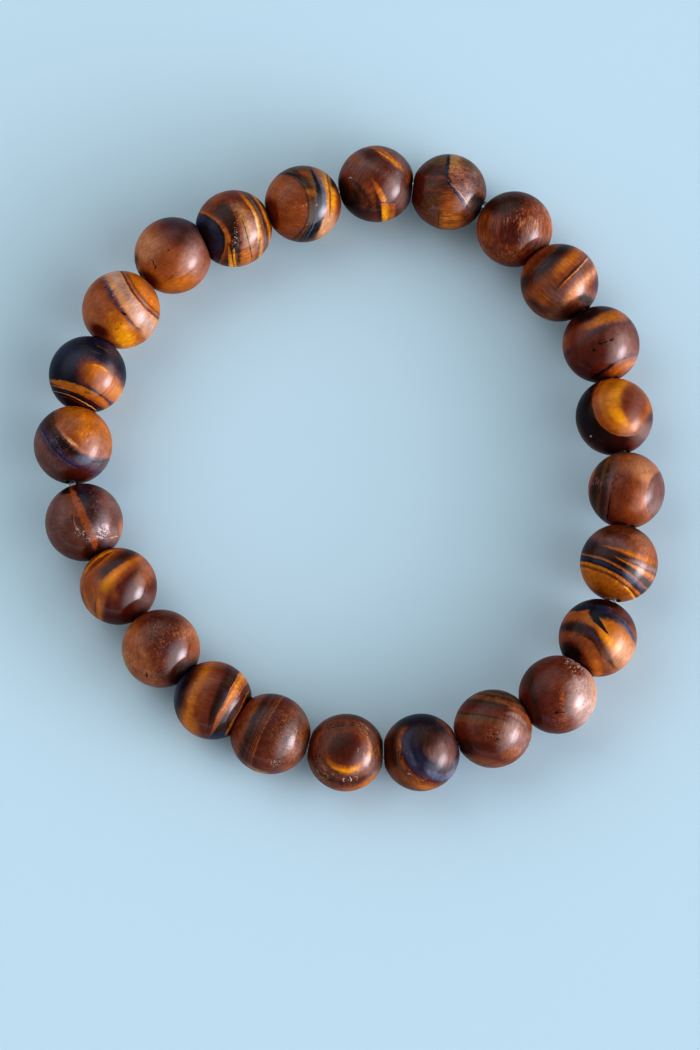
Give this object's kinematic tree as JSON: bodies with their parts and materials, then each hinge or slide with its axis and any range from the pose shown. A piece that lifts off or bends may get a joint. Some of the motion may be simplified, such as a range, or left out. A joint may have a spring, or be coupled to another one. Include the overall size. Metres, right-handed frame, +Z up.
{
  "type": "gemstone bead bracelet",
  "caption": "Stretch bracelet of round polished tiger's-eye stone beads strung edge to edge on one closed loop of clear elastic.",
  "frame": {"origin": "on the surface that the bracelet lies on, at the middle of its outline", "axes": "+Z up, out of the plane of the loop; +Y towards the back of the loop, its longer way across"},
  "size_m": [0.0646, 0.068, 0.0082],
  "materials": {
    "stone_gold": "polished tiger's eye, golden bands",
    "stone_rust": "polished tiger's eye, rust brown",
    "stone_mahogany": "polished tiger's eye, dark red-brown",
    "stone_umber": "polished tiger's eye, olive brown",
    "stone_ink": "polished tiger's eye, blue-black",
    "clear_elastic": "clear stretch cord"
  },
  "bodies": {
    "root": {"bead_01": "stone_mahogany", "bead_02": "stone_umber", "bead_03": "stone_rust", "bead_04": "stone_gold", "bead_05": "stone_mahogany", "bead_06": "stone_gold", "bead_07": "stone_rust", "bead_08": "stone_gold", "bead_09": "stone_gold", "bead_10": "stone_rust", "bead_11": "stone_mahogany", "bead_12": "stone_ink", "bead_13": "stone_mahogany", "bead_14": "stone_rust", "bead_15": "stone_gold", "bead_16": "stone_mahogany", "bead_17": "stone_gold", "bead_18": "stone_mahogany", "bead_19": "stone_mahogany", "bead_20": "stone_ink", "bead_21": "stone_rust", "bead_22": "stone_rust", "bead_23": "stone_umber", "bead_24": "stone_rust", "elastic_cord": "clear_elastic"}
  },
  "joints": []
}
